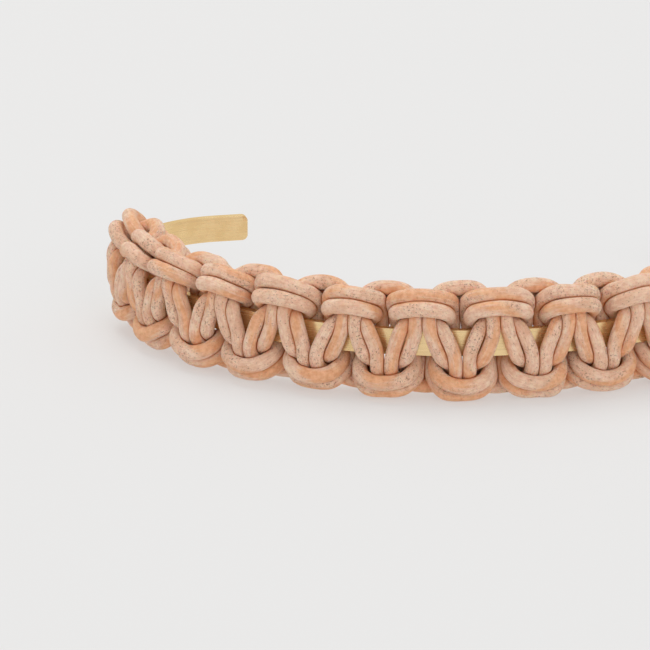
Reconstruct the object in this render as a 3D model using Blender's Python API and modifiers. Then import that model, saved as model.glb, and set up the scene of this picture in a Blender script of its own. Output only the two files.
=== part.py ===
"""Headband: a brass strip bent to an open C, with two doubled leather cords knotted round it.

The strip stands on its long edge. Its middle faces -Y and its bare tips turn in at the back, +Y.
The four strands make a flat run of square knots, with the strip as the core. Each strand winds
between an upper and a lower edge of the strip, so its route repeats once for every knot.
"""

import math

import bmesh
import bpy
import numpy as np

MM = 0.001

# The brass strip
BAND_WIDTH = 6.0 * MM
BAND_THICKNESS = 1.6 * MM
BAND_HALF_LENGTH = 149.5 * MM
TIP_CORNER_RADIUS = 1.3 * MM
EDGE_CHAMFER = 0.25 * MM
STATION_SPACING = 4.0 * MM

# Its bend: three radii on each side of the middle, joined by gradual changes, and a straight tip
FRONT_RADIUS = 85.0 * MM
SIDE_RADIUS = 48.0 * MM
BACK_RADIUS = 25.0 * MM
FRONT_TO_SIDE = (52.5 * MM, 98.0 * MM)
SIDE_TO_BACK = (94.3 * MM, 120.9 * MM)
STRAIGHT_TIP = 6.5 * MM
STRAIGHTENING = 2.0 * MM

# The cords. The knots are a little looser in the middle and tighter towards the ends, by
# SLACK. LIFT, LEAN, LEAN_FROM and CROWN_HEIGHT are in cord diameters.
CORD_DIAMETER = 3.0 * MM
SOLID_DIAMETER = 2.2 * MM
KNOT_PITCH = 15.7 * MM
KNOTS = 13
SLACK = 1.4 * MM
LIFT = 0.12
LEAN = 0.2
LEAN_FROM = 1.2
LEANING = (60.0 * MM, 102.0 * MM)
CROWN_HEIGHT = 3.72

# Where the middle of the strip stands, with the origin under the middle of the whole object
BAND_HEIGHT = (CROWN_HEIGHT - LIFT) * CORD_DIAMETER + SOLID_DIAMETER / 2
BAND_FRONT_Y = -41.1 * MM

# A strand's route over half a repeat, in cord diameters: along the strip, up, and out from it.
# It starts at the crown of a wide loop behind the upper edge, comes down the front of the strip
# as a leg, and ends at the crown of a close loop behind the lower edge.
HALF_KNOT = KNOT_PITCH / CORD_DIAMETER / 2
LEG = (
    (0.00, CROWN_HEIGHT, -0.90),
    (1.30, 3.52, -0.72),
    (2.05, 2.82, 0.22),
    (2.15, 1.80, 1.12),
    (1.98, 0.55, 1.12),
    (1.52, -0.95, 1.02),
    (0.80, -1.76, 0.06),
    (1.10, -2.55, -1.22),
    (HALF_KNOT, -2.93, -1.68),
)

# From the last crown of a strand to its trimmed end, on the inner face of the strip
FRONT_CLOSE_TAIL = ((0.70, -2.60, -1.50), (0.95, -1.65, -1.10), (0.95, -0.50, -0.83))
FRONT_WIDE_TAIL = (
    (1.30, -3.45, -0.90),
    (1.95, -2.55, -1.05),
    (2.05, -1.55, -0.92),
    (2.05, -0.50, -0.83),
)
BACK_CLOSE_TAIL = (
    (1.57, 2.65, 1.15),
    (1.87, 1.70, -0.05),
    (1.00, 0.95, -0.90),
    (0.90, 0.45, -0.83),
)
BACK_WIDE_TAIL = (
    (1.30, 3.55, 0.75),
    (2.05, 2.85, -0.25),
    (2.15, 1.80, -1.10),
    (2.10, 0.50, -0.83),
)

# Each strand: its name, whether its legs lie on the front, the kind of loop with its last
# crown, and its tail
CORDS = (
    ("front_cord_a", True, "close", FRONT_CLOSE_TAIL),
    ("front_cord_b", True, "wide", FRONT_WIDE_TAIL),
    ("back_cord_a", False, "close", BACK_CLOSE_TAIL),
    ("back_cord_b", False, "wide", BACK_WIDE_TAIL),
)

BRASS = (0.72, 0.52, 0.24, 1.0)
LEATHER = (0.60, 0.35, 0.22, 1.0)


def clear_scene():
    for item in list(bpy.data.objects):
        bpy.data.objects.remove(item, do_unlink=True)


def smooth_step(value, span):
    """0 before the span, 1 after it, and a smooth change between."""
    part = np.clip((value - span[0]) / (span[1] - span[0]), 0.0, 1.0)
    return part * part * (3.0 - 2.0 * part)


def curvature(distance):
    """How sharply the strip bends at a distance from its middle."""
    bend = 1.0 / FRONT_RADIUS
    bend = bend + (1.0 / SIDE_RADIUS - 1.0 / FRONT_RADIUS) * smooth_step(distance, FRONT_TO_SIDE)
    bend = bend + (1.0 / BACK_RADIUS - 1.0 / SIDE_RADIUS) * smooth_step(distance, SIDE_TO_BACK)
    straight_from = BAND_HALF_LENGTH - STRAIGHT_TIP
    return bend * (1.0 - smooth_step(distance, (straight_from - STRAIGHTENING, straight_from)))


def running_sum(values, step):
    """The integral of evenly spaced values, from 0 at the first."""
    return np.concatenate(([0.0], np.cumsum((values[1:] + values[:-1]) * step / 2.0)))


def trace_half_band(samples=3001):
    """Distance, x, y and heading along the middle of the strip, from its middle to one tip."""
    distance = np.linspace(0.0, BAND_HALF_LENGTH, samples)
    heading = running_sum(curvature(distance), distance[1])
    line_x = running_sum(np.cos(heading), distance[1])
    line_y = running_sum(np.sin(heading), distance[1])
    return distance, line_x, line_y, heading


BAND_LINE = trace_half_band()


def place(along, up, out):
    """A world point, from the distance along the strip, the height over its middle and the
    distance out from it."""
    distance, line_x, line_y, line_heading = BAND_LINE
    side = math.copysign(1.0, along)
    heading = side * np.interp(abs(along), distance, line_heading)
    x = side * np.interp(abs(along), distance, line_x) + out * math.sin(heading)
    y = np.interp(abs(along), distance, line_y) - out * math.cos(heading)
    return (x, y + BAND_FRONT_Y, up + BAND_HEIGHT)


def material(name, colour, roughness, metallic):
    made = bpy.data.materials.new(name)
    made.use_nodes = True
    shader = made.node_tree.nodes["Principled BSDF"]
    shader.inputs["Base Color"].default_value = colour
    shader.inputs["Roughness"].default_value = roughness
    shader.inputs["Metallic"].default_value = metallic
    return made


def add_object(name, data, surface, collection):
    data.materials.append(surface)
    made = bpy.data.objects.new(name, data)
    collection.objects.link(made)
    return made


def band_stations():
    """(distance, half width) for each cross-section of the strip, narrower in the round corners."""
    body_end = BAND_HALF_LENGTH - TIP_CORNER_RADIUS
    straight_from = BAND_HALF_LENGTH - STRAIGHT_TIP
    count = 2 * round(straight_from / STATION_SPACING)
    body = list(np.linspace(-straight_from, straight_from, count + 1))
    stations = [(distance, BAND_WIDTH / 2) for distance in body]
    corner = []
    for step in range(5):
        angle = step * math.pi / 8
        half = BAND_WIDTH / 2 - TIP_CORNER_RADIUS * (1.0 - math.cos(angle))
        corner.append((body_end + TIP_CORNER_RADIUS * math.sin(angle), half))
    return [(-distance, half) for distance, half in reversed(corner)] + stations + corner


def add_band(surface, collection):
    """An open surface along the middle of the strip, thickened, with its edges eased."""
    mesh = bpy.data.meshes.new("brass_band")
    work = bmesh.new()
    rows = []
    for along, half in band_stations():
        rows.append([work.verts.new(place(along, up, 0.0)) for up in (-half, half)])
    for first, second in zip(rows, rows[1:]):
        work.faces.new((first[0], second[0], second[1], first[1]))
    bmesh.ops.recalc_face_normals(work, faces=work.faces)
    work.to_mesh(mesh)
    work.free()
    band = add_object("brass_band", mesh, surface, collection)
    thickness = band.modifiers.new("thickness", "SOLIDIFY")
    thickness.thickness = BAND_THICKNESS
    thickness.offset = 0.0
    thickness.use_even_offset = True
    edges = band.modifiers.new("eased_edges", "BEVEL")
    edges.width = EDGE_CHAMFER
    edges.segments = 1
    edges.limit_method = "ANGLE"
    edges.angle_limit = math.radians(50)
    return band


def mirrored(points, centre):
    """The points in reverse order, turned over about a place along the strip."""
    return [(2 * centre - along, up, out) for along, up, out in reversed(points)]


def shifted(points, distance):
    return [(along + distance, up, out) for along, up, out in points]


def cord_route(on_front, last_loop, tail):
    """A strand's points in cord diameters, from one trimmed end to the other."""
    if last_loop == "close":
        away = mirrored(LEG, HALF_KNOT / 2)
    else:
        away = [(along, -up, out) for along, up, out in LEG]
    knot = away[:-1] + mirrored(away, HALF_KNOT)[:-1]
    last_crown = KNOTS * HALF_KNOT
    run = []
    for number in range(KNOTS):
        run += shifted(knot, 2 * number * HALF_KNOT - last_crown)
    run += shifted(away[:1], last_crown)
    if not on_front:
        run = [(along, -up, -out) for along, up, out in run]
    end = shifted(tail, last_crown)
    return mirrored(end, 0.0) + run + end


def cord_point(along, up, out):
    """A world point of a route. The knots sit a little high on the strip and, where it bends
    most, the pull of the cord leans the loops beyond its edges inwards."""
    braid_length = (KNOTS + 1) * KNOT_PITCH
    distance = along * CORD_DIAMETER
    distance += SLACK * math.sin(2 * math.pi * distance / braid_length)
    lean = LEAN * smooth_step(abs(distance), LEANING) * max(abs(up) - LEAN_FROM, 0.0)
    return place(distance, (up + LIFT) * CORD_DIAMETER, (out - lean) * CORD_DIAMETER)


def add_cord(name, route, surface, collection):
    """A tube through the route's points. Its solid is a little thinner than the soft leather,
    which its neighbours press into."""
    curve = bpy.data.curves.new(name, "CURVE")
    curve.dimensions = "3D"
    curve.bevel_depth = SOLID_DIAMETER / 2
    curve.bevel_resolution = 2
    curve.use_fill_caps = True
    spline = curve.splines.new("POLY")
    spline.points.add(len(route) - 1)
    for point, place_on_route in zip(spline.points, route):
        point.co = cord_point(*place_on_route) + (1.0,)
    return add_object(name, curve, surface, collection)


def build():
    clear_scene()
    collection = bpy.data.collections.new("headband")
    bpy.context.scene.collection.children.link(collection)
    pieces = [add_band(material("satin_brass", BRASS, 0.35, 1.0), collection)]
    for name, on_front, last_loop, tail in CORDS:
        leather = material(name + "_leather", LEATHER, 0.8, 0.0)
        route = cord_route(on_front, last_loop, tail)
        pieces.append(add_cord(name, route, leather, collection))
    centre = bpy.data.objects.new("headband_centre", None)
    collection.objects.link(centre)
    for piece in pieces:
        piece.parent = centre


build()
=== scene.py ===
"""The looks of the headband: a satin brass strip with four leather cords knotted round it.

The strip's line and the cords' routes repeat the part's own formulas and points. The cords are
soft: each is pressed flat where it meets another cord or the strip.
"""

import math

import bmesh
import bpy
import numpy as np
from mathutils import Matrix, Vector, noise
from mathutils.kdtree import KDTree


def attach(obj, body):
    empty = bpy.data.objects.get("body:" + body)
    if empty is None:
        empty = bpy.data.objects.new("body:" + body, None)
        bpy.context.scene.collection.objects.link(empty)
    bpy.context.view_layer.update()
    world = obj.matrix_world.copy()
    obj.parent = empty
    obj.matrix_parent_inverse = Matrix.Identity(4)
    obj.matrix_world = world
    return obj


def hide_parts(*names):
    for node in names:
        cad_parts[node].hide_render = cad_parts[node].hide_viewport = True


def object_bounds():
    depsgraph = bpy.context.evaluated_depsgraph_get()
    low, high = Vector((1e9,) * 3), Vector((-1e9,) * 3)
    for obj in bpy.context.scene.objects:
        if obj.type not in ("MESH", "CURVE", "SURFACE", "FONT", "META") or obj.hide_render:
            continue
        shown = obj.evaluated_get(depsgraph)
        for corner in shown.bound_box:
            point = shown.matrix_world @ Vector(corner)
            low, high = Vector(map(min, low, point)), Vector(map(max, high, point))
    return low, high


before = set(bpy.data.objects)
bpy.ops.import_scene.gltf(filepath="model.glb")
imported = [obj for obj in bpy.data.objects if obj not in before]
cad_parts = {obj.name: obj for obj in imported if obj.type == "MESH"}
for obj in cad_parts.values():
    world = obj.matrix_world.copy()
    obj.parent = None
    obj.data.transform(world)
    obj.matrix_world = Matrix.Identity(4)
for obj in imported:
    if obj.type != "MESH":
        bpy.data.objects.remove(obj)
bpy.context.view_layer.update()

MM = 0.001
BODY = "root"

# The brass strip and its bend, as in the part
BAND_WIDTH = 6.0 * MM
BAND_THICKNESS = 1.6 * MM
BAND_HALF_LENGTH = 149.5 * MM
TIP_CORNER_RADIUS = 1.3 * MM
FRONT_RADIUS = 85.0 * MM
SIDE_RADIUS = 48.0 * MM
BACK_RADIUS = 25.0 * MM
FRONT_TO_SIDE = (52.5 * MM, 98.0 * MM)
SIDE_TO_BACK = (94.3 * MM, 120.9 * MM)
STRAIGHT_TIP = 6.5 * MM
STRAIGHTENING = 2.0 * MM

# How finely the strip is made here, and how far its edges are worn
STATION_SPACING = 1.0 * MM
CORNER_STEPS = 9
ROWS_ACROSS = 5
WORN_EDGE = 0.32 * MM

# The cords' routes, as in the part. LIFT, LEAN, LEAN_FROM, CROWN_HEIGHT and the points are in
# cord diameters.
CORD_DIAMETER = 3.0 * MM
SOLID_DIAMETER = 2.2 * MM
KNOT_PITCH = 15.7 * MM
KNOTS = 13
SLACK = 1.4 * MM
LIFT = 0.12
LEAN = 0.2
LEAN_FROM = 1.2
LEANING = (60.0 * MM, 102.0 * MM)
CROWN_HEIGHT = 3.72
BAND_HEIGHT = (CROWN_HEIGHT - LIFT) * CORD_DIAMETER + SOLID_DIAMETER / 2
BAND_FRONT_Y = -41.1 * MM
HALF_KNOT = KNOT_PITCH / CORD_DIAMETER / 2
LEG = (
    (0.00, CROWN_HEIGHT, -0.90),
    (1.30, 3.52, -0.72),
    (2.05, 2.82, 0.22),
    (2.15, 1.80, 1.12),
    (1.98, 0.55, 1.12),
    (1.52, -0.95, 1.02),
    (0.80, -1.76, 0.06),
    (1.10, -2.55, -1.22),
    (HALF_KNOT, -2.93, -1.68),
)
FRONT_CLOSE_TAIL = ((0.70, -2.60, -1.50), (0.95, -1.65, -1.10), (0.95, -0.50, -0.83))
FRONT_WIDE_TAIL = (
    (1.30, -3.45, -0.90),
    (1.95, -2.55, -1.05),
    (2.05, -1.55, -0.92),
    (2.05, -0.50, -0.83),
)
BACK_CLOSE_TAIL = (
    (1.57, 2.65, 1.15),
    (1.87, 1.70, -0.05),
    (1.00, 0.95, -0.90),
    (0.90, 0.45, -0.83),
)
BACK_WIDE_TAIL = (
    (1.30, 3.55, 0.75),
    (2.05, 2.85, -0.25),
    (2.15, 1.80, -1.10),
    (2.10, 0.50, -0.83),
)

# Each strand: its name, whether its legs lie on the front, the kind of loop with its last crown,
# its tail, and the seed of its unevenness
CORDS = (
    ("front_cord_a", True, "close", FRONT_CLOSE_TAIL, 11),
    ("front_cord_b", True, "wide", FRONT_WIDE_TAIL, 23),
    ("back_cord_a", False, "close", BACK_CLOSE_TAIL, 37),
    ("back_cord_b", False, "wide", BACK_WIDE_TAIL, 41),
)

# How the hand-tied leather differs from the part's even routes, in cord diameters. Each point
# strays on its own by UNEVENNESS. WARP moves whole knots along and up, each by its own slice of
# a smooth noise. PULLED_IN adds to LEAN. GATHER draws the legs together under the bars, and
# fades out between the two heights of GATHERED_BELOW.
UNEVENNESS = (0.02, 0.05, 0.03)
WARP = (0.32, 0.352)
WARP_SLICES = (7.0, 50.0)
WARP_FREQUENCY = 0.21
PULLED_IN = 0.24
GATHER = 0.15
GATHERED_BELOW = (2.2, 3.0)

# The leather's section, which is fuller in the loops, and how it gives way where it is pressed
LEATHER_RADIUS = 1.63 * MM
LOOP_SWELL = 0.06
LOOP_FROM = (1.8, 3.0)
RING_SPACING = 0.42 * MM
RING_SIDES = 24
STEPS_PER_POINT = 16
NEIGHBOUR_REACH = 2.6 * LEATHER_RADIUS
OWN_NEIGHBOURHOOD = 5.0 * MM
STRIP_GAP = 0.05 * MM
LEAST_RADIUS = 0.55
PRESS_SHARPNESS = 14
MOST_LOST = 0.3
SWELL_FOR_LOST = 0.55

# Lumps in the leather's surface, each a share of the radius and a frequency per metre, and how
# much flatter they are where the leather is pressed
LUMPS = ((0.030, 230.0), (0.014, 800.0))
PRESSED_FROM = (0.8, 1.0)
MOST_PRESSED = 1.2
FLATTENED = 0.7
UV_UNIT = 10.0 * MM

# Colours. A pair is the two ends of what the surface varies between.
BRASS = ((0.97, 0.735, 0.395, 1.0), (0.89, 0.645, 0.315, 1.0))
BRASS_STREAK = (0.78, 0.56, 0.30, 1.0)
FLESH_SIDE = ((0.97, 0.71, 0.53, 1.0), (0.80, 0.475, 0.325, 1.0))
FLESH_BLOTCH = (0.76, 0.44, 0.28, 1.0)
GRAIN_SIDE = ((0.86, 0.465, 0.25, 1.0), (0.73, 0.33, 0.15, 1.0))
PORE = (0.27, 0.125, 0.08, 1.0)
# Painted shade in the creases where cords press together, partly a rubbed leather tint
CREASE_SHADE_AND_RUB = (0.74, 0.27, 0.095, 1.0)

# The camera: a long lens with its sides level, looking down at the braided front
LOOK_DOWN = math.radians(18)
CAMERA_DISTANCE = 1.3333
CAMERA_LEFT = 30.3 * MM
CAMERA_DROP = 3.84 * MM
CAMERA_LENS = 332.3

# Soft lamps over and in front of the object: name, place, size, power and colour
LAMPS = (
    ("overhead_softbox", (-0.3, 0.45, 1.6), 1.3, 9.0, (1.0, 0.99, 0.97)),
    ("front_softbox", (0.5, -1.5, 0.9), 0.9, 4.0, (1.0, 1.0, 1.0)),
)
WORLD_STRENGTH = 0.72
FLOOR_SIZE = 6.0


def smooth_step(value, span):
    """0 before the span, 1 after it, and a smooth change between."""
    part = np.clip((value - span[0]) / (span[1] - span[0]), 0.0, 1.0)
    return part * part * (3.0 - 2.0 * part)


def curvature(distance):
    """How sharply the strip bends at a distance from its middle."""
    bend = 1.0 / FRONT_RADIUS
    bend = bend + (1.0 / SIDE_RADIUS - 1.0 / FRONT_RADIUS) * smooth_step(distance, FRONT_TO_SIDE)
    bend = bend + (1.0 / BACK_RADIUS - 1.0 / SIDE_RADIUS) * smooth_step(distance, SIDE_TO_BACK)
    straight_from = BAND_HALF_LENGTH - STRAIGHT_TIP
    return bend * (1.0 - smooth_step(distance, (straight_from - STRAIGHTENING, straight_from)))


def running_sum(values, step):
    """The integral of evenly spaced values, from 0 at the first."""
    return np.concatenate(([0.0], np.cumsum((values[1:] + values[:-1]) * step / 2.0)))


def trace_half_band(samples=3001):
    """Distance, x, y and heading along the middle of the strip, from its middle to one tip."""
    distance = np.linspace(0.0, BAND_HALF_LENGTH, samples)
    heading = running_sum(curvature(distance), distance[1])
    line_x = running_sum(np.cos(heading), distance[1])
    line_y = running_sum(np.sin(heading), distance[1])
    return distance, line_x, line_y, heading


BAND_LINE = trace_half_band()


def place(along, up, out):
    """A world point, from the distance along the strip, the height over its middle and the
    distance out from it."""
    distance, line_x, line_y, line_heading = BAND_LINE
    side = math.copysign(1.0, along)
    heading = side * np.interp(abs(along), distance, line_heading)
    x = side * np.interp(abs(along), distance, line_x) + out * math.sin(heading)
    y = np.interp(abs(along), distance, line_y) - out * math.cos(heading)
    return (x, y + BAND_FRONT_Y, up + BAND_HEIGHT)


def mirrored(points, centre):
    """The points in reverse order, turned over about a place along the strip."""
    return [(2 * centre - along, up, out) for along, up, out in reversed(points)]


def shifted(points, distance):
    return [(along + distance, up, out) for along, up, out in points]


def cord_route(on_front, last_loop, tail):
    """A strand's points in cord diameters, from one trimmed end to the other."""
    if last_loop == "close":
        away = mirrored(LEG, HALF_KNOT / 2)
    else:
        away = [(along, -up, out) for along, up, out in LEG]
    knot = away[:-1] + mirrored(away, HALF_KNOT)[:-1]
    last_crown = KNOTS * HALF_KNOT
    run = []
    for number in range(KNOTS):
        run += shifted(knot, 2 * number * HALF_KNOT - last_crown)
    run += shifted(away[:1], last_crown)
    if not on_front:
        run = [(along, -up, -out) for along, up, out in run]
    end = shifted(tail, last_crown)
    return mirrored(end, 0.0) + run + end


def cord_point(along, up, out):
    """A world point of a route. Where the strip bends most, the loops lean inwards as in the
    part, and are pulled in a little further."""
    braid_length = (KNOTS + 1) * KNOT_PITCH
    distance = along * CORD_DIAMETER
    distance += SLACK * math.sin(2 * math.pi * distance / braid_length)
    bent = smooth_step(abs(distance), LEANING)
    lean = (LEAN + PULLED_IN) * bent * max(abs(up) - LEAN_FROM, 0.0)
    return place(distance, (up + LIFT) * CORD_DIAMETER, (out - lean) * CORD_DIAMETER)


# Node helpers


def new_material(name):
    made = bpy.data.materials.new(name)
    made.use_nodes = True
    tree = made.node_tree
    return made, tree, tree.nodes["Principled BSDF"]


def add_node(tree, kind, **settings):
    node = tree.nodes.new(kind)
    for key, value in settings.items():
        setattr(node, key, value)
    return node


def connect(tree, source, target):
    """Links a socket to an input, or sets a plain value on it."""
    if isinstance(source, bpy.types.NodeSocket):
        tree.links.new(source, target)
    else:
        target.default_value = source


def maths(tree, operation, first, second=0.0, clamp=False):
    node = add_node(tree, "ShaderNodeMath", operation=operation, use_clamp=clamp)
    connect(tree, first, node.inputs[0])
    connect(tree, second, node.inputs[1])
    return node.outputs[0]


def ramp_between(tree, value, low, high, to_low=0.0, to_high=1.0):
    """A smooth change from to_low to to_high as the value goes from low to high."""
    node = add_node(tree, "ShaderNodeMapRange", interpolation_type="SMOOTHSTEP")
    connect(tree, value, node.inputs["Value"])
    node.inputs["From Min"].default_value = low
    node.inputs["From Max"].default_value = high
    node.inputs["To Min"].default_value = to_low
    node.inputs["To Max"].default_value = to_high
    return node.outputs["Result"]


def noise_of(tree, vector, scale, detail=2.0, roughness=0.5):
    node = add_node(tree, "ShaderNodeTexNoise")
    connect(tree, vector, node.inputs["Vector"])
    node.inputs["Scale"].default_value = scale
    node.inputs["Detail"].default_value = detail
    node.inputs["Roughness"].default_value = roughness
    return node.outputs["Fac"]


def mix_colour(tree, share, first, second):
    node = add_node(tree, "ShaderNodeMix", data_type="RGBA")
    connect(tree, share, node.inputs[0])
    connect(tree, first, node.inputs[6])
    connect(tree, second, node.inputs[7])
    return node.outputs[2]


def uv_place(tree, name):
    return add_node(tree, "ShaderNodeUVMap", uv_map=name).outputs["UV"]


def object_place(tree):
    return add_node(tree, "ShaderNodeTexCoord").outputs["Object"]


def separate(tree, vector):
    """The three numbers of a vector, each as a socket."""
    node = add_node(tree, "ShaderNodeSeparateXYZ")
    connect(tree, vector, node.inputs[0])
    return tuple(node.outputs)


def scaled(tree, vector, scale, offset=(0.0, 0.0, 0.0)):
    node = add_node(tree, "ShaderNodeMapping")
    connect(tree, vector, node.inputs["Vector"])
    node.inputs["Scale"].default_value = scale
    node.inputs["Location"].default_value = offset
    return node.outputs["Vector"]


def round_the_cord(tree, along, around, offset):
    """A place on a cord as a vector with no seam: along it, then twice across it."""
    angle = maths(tree, "MULTIPLY", around, 2 * math.pi)
    joined = add_node(tree, "ShaderNodeCombineXYZ")
    connect(tree, maths(tree, "ADD", along, offset), joined.inputs[0])
    connect(tree, maths(tree, "COSINE", angle), joined.inputs[1])
    connect(tree, maths(tree, "SINE", angle), joined.inputs[2])
    return joined.outputs[0]


def bump(tree, height, strength, distance, below=None):
    node = add_node(tree, "ShaderNodeBump")
    node.inputs["Strength"].default_value = strength
    node.inputs["Distance"].default_value = distance
    connect(tree, height, node.inputs["Height"])
    if below is not None:
        connect(tree, below, node.inputs["Normal"])
    return node.outputs["Normal"]


# Materials


def satin_brass():
    """Pale brass, brushed along the strip, with soft cloudy handling marks."""
    made, tree, shader = new_material("satin_brass")
    grain_map = uv_place(tree, "along_strip")
    # Both patterns are long along the strip and narrow across it.
    brushed = noise_of(tree, scaled(tree, grain_map, (90.0, 9000.0, 1.0)), 1.0, 3.0, 0.6)
    streaks = noise_of(tree, scaled(tree, grain_map, (40.0, 2500.0, 1.0)), 1.0, 2.0)
    clouds = noise_of(tree, object_place(tree), 160.0, 3.0)

    colour = mix_colour(tree, ramp_between(tree, clouds, 0.35, 0.68), *BRASS)
    streak_share = ramp_between(tree, streaks, 0.40, 0.70, 0.0, 0.4)
    colour = mix_colour(tree, streak_share, colour, BRASS_STREAK)
    connect(tree, colour, shader.inputs["Base Color"])
    roughness = ramp_between(tree, maths(tree, "ADD", clouds, brushed), 0.7, 1.3, 0.20, 0.32)
    connect(tree, roughness, shader.inputs["Roughness"])
    shader.inputs["Metallic"].default_value = 0.8
    shader.inputs["Specular Tint"].default_value = (1.0, 0.86, 0.62, 1.0)
    brush_lines = bump(tree, brushed, 0.35, 0.02 * MM)
    connect(tree, bump(tree, clouds, 0.2, 0.15 * MM, brush_lines), shader.inputs["Normal"])
    return made


def share_of_grain(tree, along, around, skin, height, seed):
    """0 on the flesh side and 1 on the grain side. The grain side winds slowly round the cord
    with a ragged edge. The share rises towards the bottom, so low parts are more orange."""
    wander = add_node(tree, "ShaderNodeTexNoise", noise_dimensions="1D")
    wandered = maths(tree, "ADD", maths(tree, "MULTIPLY", along, 0.22), float(seed))
    connect(tree, wandered, wander.inputs["W"])
    wander.inputs["Scale"].default_value = 1.0
    wander.inputs["Detail"].default_value = 1.0
    turn = maths(tree, "ADD", around, maths(tree, "MULTIPLY", wander.outputs["Fac"], 3.2))
    facing = maths(tree, "COSINE", maths(tree, "MULTIPLY", turn, 2 * math.pi))
    ragged = noise_of(tree, scaled(tree, skin, (1.6, 2.2, 2.2)), 1.0, 3.0, 0.6)
    ragged = maths(tree, "MULTIPLY", maths(tree, "SUBTRACT", ragged, 0.5), 1.8)
    facing = maths(tree, "ADD", facing, ragged)
    # The share rises towards the bottom of the cord.
    low_down = ramp_between(tree, height, 1.0 * MM, 7.0 * MM, 0.75, 0.0)
    return ramp_between(tree, maths(tree, "ADD", facing, low_down), 0.3, 1.15)


def pores_in(tree, place_map, grain_share):
    """Fine dark pores, closer together in patches and fainter on the grain side."""
    speck_map = scaled(tree, place_map, (1.0, 1.0, 1.0), (0.5, 0.0, 0.0))
    specks = noise_of(tree, speck_map, 2300.0, 2.0, 0.7)
    patches = noise_of(tree, place_map, 95.0, 1.0)
    fewer = ramp_between(tree, patches, 0.35, 0.65, 0.0, 0.07)
    pores = ramp_between(tree, maths(tree, "SUBTRACT", specks, fewer), 0.555, 0.65)
    fainter = ramp_between(tree, grain_share, 0.0, 1.0, 1.0, 0.35)
    return maths(tree, "MULTIPLY", pores, fainter)


def cord_leather(name, seed):
    """Undyed round leather cord: a pale rough flesh side full of short fibres and dark pores,
    and a smoother orange grain side that winds slowly round the cord."""
    made, tree, shader = new_material(name)
    along, around, _ = separate(tree, uv_place(tree, "along_cord"))
    closeness = separate(tree, uv_place(tree, "pressed"))[0]
    on_object = object_place(tree)
    height = separate(tree, on_object)[2]
    # The seed gives each cord its own part of every pattern.
    place_map = scaled(tree, on_object, (1.0, 1.0, 1.0), (seed * 0.013, 0.0, seed * 0.007))
    skin = round_the_cord(tree, along, around, float(seed))
    grain_share = share_of_grain(tree, along, around, skin, height, seed)
    pores = pores_in(tree, place_map, grain_share)
    mottling = noise_of(tree, place_map, 750.0, 4.0, 0.65)
    fibres = noise_of(tree, scaled(tree, skin, (5.0, 5.0, 5.0)), 1.0, 4.0, 0.75)
    blotches = noise_of(tree, place_map, 170.0, 2.0)

    # The colour: the two sides, then the pores, then painted shade with a rubbed tint in the
    # creases where cords are pressed
    tone = maths(tree, "MULTIPLY", maths(tree, "ADD", mottling, fibres), 0.5)
    flesh = mix_colour(tree, ramp_between(tree, tone, 0.38, 0.64), *FLESH_SIDE)
    blotch_share = ramp_between(tree, blotches, 0.45, 0.70, 0.0, 0.45)
    flesh = mix_colour(tree, blotch_share, flesh, FLESH_BLOTCH)
    grain = mix_colour(tree, ramp_between(tree, mottling, 0.35, 0.70), *GRAIN_SIDE)
    colour = mix_colour(tree, maths(tree, "MULTIPLY", grain_share, 0.85), flesh, grain)
    colour = mix_colour(tree, maths(tree, "MULTIPLY", pores, 0.62), colour, PORE)
    # Painted shade, partly a rubbed tint, where the cord is pressed by others
    crease_shade_and_rub_share = ramp_between(tree, closeness, 0.86, 1.0, 0.0, 0.85)
    colour = mix_colour(tree, crease_shade_and_rub_share, colour, CREASE_SHADE_AND_RUB)
    connect(tree, colour, shader.inputs["Base Color"])

    roughness = ramp_between(tree, grain_share, 0.0, 1.0, 0.86, 0.58)
    connect(tree, roughness, shader.inputs["Roughness"])
    shader.inputs["Specular IOR Level"].default_value = 0.35
    shader.inputs["Subsurface Weight"].default_value = 0.35
    shader.inputs["Subsurface Radius"].default_value = (1.0, 0.38, 0.20)
    shader.inputs["Subsurface Scale"].default_value = 1.0 * MM

    # The relief: fibres that are flatter on the grain side, pores sunk between them, and dents
    fuzz = maths(tree, "ADD", noise_of(tree, place_map, 1300.0, 5.0, 0.75), fibres)
    flatter = ramp_between(tree, grain_share, 0.0, 1.0, 1.0, 0.45)
    fibre_height = maths(tree, "MULTIPLY", fuzz, flatter)
    relief = maths(tree, "SUBTRACT", fibre_height, maths(tree, "MULTIPLY", pores, 0.5))
    rough = bump(tree, relief, 0.9, 0.25 * MM)
    connect(tree, bump(tree, blotches, 0.35, 0.5 * MM, rough), shader.inputs["Normal"])
    return made


def plain_floor():
    """A pale matt floor. It gives off a little light, which keeps the shadow on it faint."""
    made, _, shader = new_material("pale_floor")
    shader.inputs["Base Color"].default_value = (0.37, 0.37, 0.37, 1.0)
    shader.inputs["Emission Color"].default_value = (1.0, 0.99, 0.98, 1.0)
    shader.inputs["Emission Strength"].default_value = 0.43
    shader.inputs["Roughness"].default_value = 0.9
    shader.inputs["Specular IOR Level"].default_value = 0.2
    return made


# The brass strip


def strip_stations():
    """(distance, half width) for each cross-section, close together in the round corners."""
    body_end = BAND_HALF_LENGTH - TIP_CORNER_RADIUS
    body = np.linspace(-body_end, body_end, round(2 * body_end / STATION_SPACING) + 1)
    stations = [(distance, BAND_WIDTH / 2) for distance in body]
    corner = []
    for step in range(1, CORNER_STEPS + 1):
        angle = step * math.pi / (2 * CORNER_STEPS)
        half = BAND_WIDTH / 2 - TIP_CORNER_RADIUS * (1.0 - math.cos(angle))
        corner.append((body_end + TIP_CORNER_RADIUS * math.sin(angle), half))
    return [(-distance, half) for distance, half in reversed(corner)] + stations + corner


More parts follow.
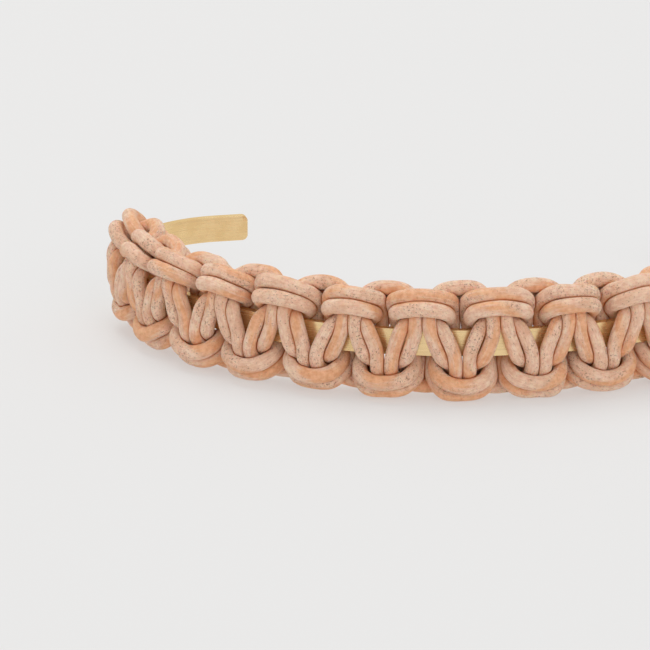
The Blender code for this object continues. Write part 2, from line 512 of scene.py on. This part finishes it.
def add_strip():
    """A surface along the middle of the strip, thickened, with worn round edges."""
    mesh = bpy.data.meshes.new("brass_strip")
    work = bmesh.new()
    grain = work.loops.layers.uv.new("along_strip")
    where = {}
    rows = []
    levels = np.linspace(-1.0, 1.0, ROWS_ACROSS)
    for along, half in strip_stations():
        row = []
        for level in levels:
            vertex = work.verts.new(place(along, level * half, 0.0))
            where[vertex] = (along, level * half)
            row.append(vertex)
        rows.append(row)
    for first, second in zip(rows, rows[1:]):
        for low in range(ROWS_ACROSS - 1):
            work.faces.new((first[low], second[low], second[low + 1], first[low + 1]))
    for face in work.faces:
        for loop in face.loops:
            loop[grain].uv = where[loop.vert]
    bmesh.ops.recalc_face_normals(work, faces=work.faces)
    work.to_mesh(mesh)
    work.free()
    strip = bpy.data.objects.new("brass_strip", mesh)
    bpy.context.scene.collection.objects.link(strip)
    thickness = strip.modifiers.new("thickness", "SOLIDIFY")
    thickness.thickness = BAND_THICKNESS
    thickness.offset = 0.0
    thickness.use_even_offset = True
    edges = strip.modifiers.new("worn_edges", "BEVEL")
    edges.width = WORN_EDGE
    edges.segments = 3
    edges.limit_method = "ANGLE"
    edges.angle_limit = math.radians(50)
    mesh.materials.append(satin_brass())
    mesh.shade_smooth()
    normals = strip.modifiers.new("even_normals", "WEIGHTED_NORMAL")
    normals.keep_sharp = False
    return strip


# The leather cords


def smooth_line(points, spacing):
    """Evenly spaced points on a Catmull-Rom curve through the given ones, and their distances."""
    ends = np.vstack((2 * points[0] - points[1], points, 2 * points[-1] - points[-2]))
    share = np.linspace(0.0, 1.0, STEPS_PER_POINT, endpoint=False)[:, None]
    pieces = []
    for a, b, c, d in zip(ends, ends[1:], ends[2:], ends[3:]):
        bend = (2 * a - 5 * b + 4 * c - d) * share**2 + (3 * b - a - 3 * c + d) * share**3
        pieces.append(0.5 * (2 * b + (c - a) * share + bend))
    fine = np.vstack(pieces + [points[-1:]])
    run = np.concatenate(([0.0], np.cumsum(np.linalg.norm(np.diff(fine, axis=0), axis=1))))
    distances = np.linspace(0.0, run[-1], round(run[-1] / spacing) + 1)
    line = np.stack([np.interp(distances, run, fine[:, axis]) for axis in range(3)], axis=1)
    return line, distances


def drawn_together(along, up, out):
    """How far a place on a leg moves along, towards the legs beside it under the same bar. The
    bars cross the upper half of the legs on the front, and the lower half behind."""
    under_bar = np.clip(math.copysign(up, up * out), 0.0, 1.0)
    under_bar *= 1.0 - smooth_step(abs(up), GATHERED_BELOW)
    return GATHER * under_bar * math.sin(math.pi * along / HALF_KNOT)


def hand_tied(along, up, out):
    """A route point moved a little along and up, together with all the cord close to it."""
    shifts = []
    for amount, slice_at in zip(WARP, WARP_SLICES):
        shifts.append(amount * noise.noise(Vector((along, up, slice_at)) * WARP_FREQUENCY))
    return (along + drawn_together(along, up, out) + shifts[0], up + shifts[1], out)


def cord_line(on_front, last_loop, tail, seed):
    """The centreline of one strand, as loosely as a hand would lay it."""
    route = np.array(cord_route(on_front, last_loop, tail))
    random = np.random.default_rng(seed)
    route += np.clip(random.normal(size=route.shape), -2.0, 2.0) * UNEVENNESS
    route = np.array([hand_tied(*point) for point in route])
    points = np.array([cord_point(*point) for point in route])
    return smooth_line(points, RING_SPACING)


def ring_directions(line):
    """For each point of a line, unit vectors all round it, turning as little as they can."""
    tangents = np.gradient(line, axis=0)
    tangents /= np.linalg.norm(tangents, axis=1)[:, None]
    side = np.cross(tangents[0], (0.0, 0.0, 1.0))
    sides = []
    for tangent in tangents:
        side = side - tangent * (side @ tangent)
        side = side / np.linalg.norm(side)
        sides.append(side)
    sides = np.array(sides)
    others = np.cross(tangents, sides)
    angles = np.linspace(0.0, 2 * math.pi, RING_SIDES, endpoint=False)
    around = np.cos(angles)[None, :, None] * sides[:, None, :]
    return around + np.sin(angles)[None, :, None] * others[:, None, :]


def free_radii(line):
    """The cord's own radius at each point: fuller in the loops than in the taut legs."""
    height = np.abs((line[:, 2] - BAND_HEIGHT) / CORD_DIAMETER - LIFT)
    return LEATHER_RADIUS * (1.0 + LOOP_SWELL * smooth_step(height, LOOP_FROM))


def room_around(lines, distances, directions):
    """How far each cord can reach in each direction before it meets a neighbour half way."""
    tree = KDTree(sum(len(line) for line in lines))
    owners = []
    for number, line in enumerate(lines):
        for index, point in enumerate(line):
            tree.insert(point, len(owners))
            owners.append((number, index))
    tree.balance()
    owners = np.array(owners)
    everything = np.vstack(lines)
    rooms = []
    for number, line in enumerate(lines):
        room = np.full((len(line), RING_SIDES), np.inf)
        for index, point in enumerate(line):
            near = np.array([found[1] for found in tree.find_range(point, NEIGHBOUR_REACH)])
            own = owners[near, 0] == number
            # The distance apart along the cord means something only on the cord itself.
            apart = np.abs(distances[number][owners[near, 1] * own] - distances[number][index])
            near = near[~own | (apart > OWN_NEIGHBOURHOOD)]
            if not len(near):
                continue
            gaps = everything[near] - point
            facing = directions[number][index] @ gaps.T
            half_way = (gaps**2).sum(axis=1) / 2.0 / np.maximum(facing, 1e-9)
            room[index] = half_way.min(axis=1)
        rooms.append(room)
    return rooms


def reach_to_slab(start, step, half):
    """How far a point has to go to enter and to leave the slab from -half to half."""
    step = np.where(np.abs(step) < 1e-9, 1e-9, step)
    ends = np.stack(((-half - start) / step, (half - start) / step))
    return ends.min(axis=0), ends.max(axis=0)


def room_to_strip(line, directions):
    """How far a cord can reach in each direction before it meets the brass strip."""
    # Every tenth place on the strip's line is near enough. The strip is even about x = 0.
    _, line_x, line_y, line_heading = (values[::10] for values in BAND_LINE)
    from_x = np.abs(line[:, 0])[:, None] - line_x
    from_y = (line[:, 1] - BAND_FRONT_Y)[:, None] - line_y
    nearest = (from_x**2 + from_y**2).argmin(axis=1)
    rows = np.arange(len(line))
    heading = line_heading[nearest]
    out = from_x[rows, nearest] * np.sin(heading) - from_y[rows, nearest] * np.cos(heading)
    up = line[:, 2] - BAND_HEIGHT
    outwards = np.stack((np.sign(line[:, 0]) * np.sin(heading), -np.cos(heading)), axis=1)
    step_out = (directions[:, :, :2] * outwards[:, None, :]).sum(axis=2)
    in_across, out_across = reach_to_slab(out[:, None], step_out, BAND_THICKNESS / 2 + STRIP_GAP)
    in_up, out_up = reach_to_slab(up[:, None], directions[:, :, 2], BAND_WIDTH / 2 + STRIP_GAP)
    enters = np.maximum(in_across, in_up)
    leaves = np.minimum(out_across, out_up)
    return np.where((enters < leaves) & (leaves > 0.0), np.maximum(enters, 0.0), np.inf)


def pressed_radii(radius, room):
    """The section of a soft cord in the room it has. What is pressed in swells out elsewhere."""
    room = np.maximum(room, LEAST_RADIUS * radius[:, None])
    wanted = radius[:, None]
    for _ in range(2):
        section = (wanted**-PRESS_SHARPNESS + room**-PRESS_SHARPNESS) ** (-1.0 / PRESS_SHARPNESS)
        lost = np.clip(1.0 - section.mean(axis=1) / radius, 0.0, MOST_LOST)
        wanted = radius[:, None] * (1.0 + SWELL_FOR_LOST * lost)[:, None]
    return section


def surface_unevenness(points):
    """Soft lumps and shallow dents in the leather's surface, as a share of its radius."""
    uneven = []
    for point in points:
        at = Vector(point)
        uneven.append(sum(height * noise.noise(at * frequency) for height, frequency in LUMPS))
    return np.array(uneven)


def uneven_section(line, directions, room):
    """The radius all round each point, pressed and lumpy, and how closely it is pressed there,
    which is 1 where the round cord would just touch."""
    radius = free_radii(line)
    section = pressed_radii(radius, room)
    surface = line[:, None, :] + directions * section[:, :, None]
    lumps = surface_unevenness(surface.reshape(-1, 3)).reshape(section.shape)
    closeness = np.clip(radius[:, None] / room, 0.0, MOST_PRESSED)
    lumps *= 1.0 - FLATTENED * smooth_step(closeness, PRESSED_FROM)
    return section * (1.0 + lumps), closeness


def side_faces(count):
    """The corners of the faces between so many rings, and each face's own ring and spot."""
    ring, spot = np.meshgrid(np.arange(count - 1), np.arange(RING_SIDES), indexing="ij")
    ring, spot = ring.reshape(-1), spot.reshape(-1)
    here, beyond = ring * RING_SIDES, (ring + 1) * RING_SIDES
    after = (spot + 1) % RING_SIDES
    return np.stack((here + spot, here + after, beyond + after, beyond + spot), axis=1), ring, spot


def add_uv_map(mesh, name, values):
    """A UV map for the side faces. The two end faces come last and stay at 0, 0."""
    padded = np.zeros((len(mesh.loops), 2))
    padded[: len(values)] = values
    layer = mesh.uv_layers.new(name=name)
    layer.data.foreach_set("uv", padded.reshape(-1).astype(np.float32))


def add_cord(name, line, distances, directions, room, seed):
    section, closeness = uneven_section(line, directions, room)
    vertices = (line[:, None, :] + directions * section[:, :, None]).reshape(-1, 3)
    faces, ring, spot = side_faces(len(line))
    first_end = tuple(reversed(range(RING_SIDES)))
    last_end = tuple(range(len(vertices) - RING_SIDES, len(vertices)))
    mesh = bpy.data.meshes.new(name)
    mesh.from_pydata(vertices.tolist(), [], faces.tolist() + [first_end, last_end])

    along = distances / UV_UNIT
    u = np.stack((along[ring], along[ring], along[ring + 1], along[ring + 1]), axis=1)
    v = np.stack((spot, spot + 1, spot + 1, spot), axis=1) / RING_SIDES
    add_uv_map(mesh, "along_cord", np.stack((u, v), axis=-1).reshape(-1, 2))
    pressed = closeness.reshape(-1)[faces].reshape(-1)
    add_uv_map(mesh, "pressed", np.stack((pressed, np.zeros_like(pressed)), axis=1))
    mesh.shade_smooth()
    mesh.set_sharp_from_angle(angle=math.radians(60))
    mesh.materials.append(cord_leather(name + "_leather", seed))
    cord = bpy.data.objects.new(name, mesh)
    bpy.context.scene.collection.objects.link(cord)
    return cord


def add_cords():
    """All four cords, traced together because each is pressed by the others."""
    lines, distances = [], []
    for _, on_front, last_loop, tail, seed in CORDS:
        line, run = cord_line(on_front, last_loop, tail, seed)
        lines.append(line)
        distances.append(run)
    directions = [ring_directions(line) for line in lines]
    between_cords = room_around(lines, distances, directions)
    for number, (node, _, _, _, seed) in enumerate(CORDS):
        line, around = lines[number], directions[number]
        room = np.minimum(between_cords[number], room_to_strip(line, around))
        made = add_cord("leather_" + node, line, distances[number], around, room, seed)
        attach(made, BODY)
        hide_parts(node)


# The stage


def add_camera():
    forward = Vector((0.0, math.cos(LOOK_DOWN), -math.sin(LOOK_DOWN)))
    up = Vector((0.0, math.sin(LOOK_DOWN), math.cos(LOOK_DOWN)))
    right = Vector((1.0, 0.0, 0.0))
    target = Vector((0.0, BAND_FRONT_Y, BAND_HEIGHT))
    data = bpy.data.cameras.new("camera")
    data.lens = CAMERA_LENS
    data.clip_end = 10.0
    camera = bpy.data.objects.new("camera", data)
    camera.location = target - forward * CAMERA_DISTANCE - right * CAMERA_LEFT + up * CAMERA_DROP
    camera.rotation_euler = Matrix((right, up, -forward)).transposed().to_euler()
    bpy.context.scene.collection.objects.link(camera)
    bpy.context.scene.camera = camera


def add_light(name, place_at, size, power, colour):
    data = bpy.data.lights.new(name, "AREA")
    data.shape = "DISK"
    data.size = size
    data.energy = power
    data.color = colour
    lamp = bpy.data.objects.new(name, data)
    lamp.location = place_at
    lamp.rotation_euler = (-Vector(place_at)).to_track_quat("-Z", "Y").to_euler()
    bpy.context.scene.collection.objects.link(lamp)


def add_studio():
    world = bpy.data.worlds.new("studio")
    world.use_nodes = True
    background = world.node_tree.nodes["Background"]
    background.inputs["Color"].default_value = (1.0, 1.0, 1.0, 1.0)
    background.inputs["Strength"].default_value = WORLD_STRENGTH
    bpy.context.scene.world = world
    bpy.context.scene.view_settings.view_transform = "Standard"
    for lamp in LAMPS:
        add_light(*lamp)


def add_floor():
    """A plain floor under the lowest point of the cords."""
    bpy.context.view_layer.update()
    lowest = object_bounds()[0][2]
    bpy.ops.mesh.primitive_plane_add(size=FLOOR_SIZE, location=(0.0, 0.0, lowest))
    floor = bpy.context.object
    floor.name = "floor"
    floor.data.materials.append(plain_floor())


strip = add_strip()
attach(strip, BODY)
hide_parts("brass_band")
add_cords()
add_camera()
add_studio()
add_floor()
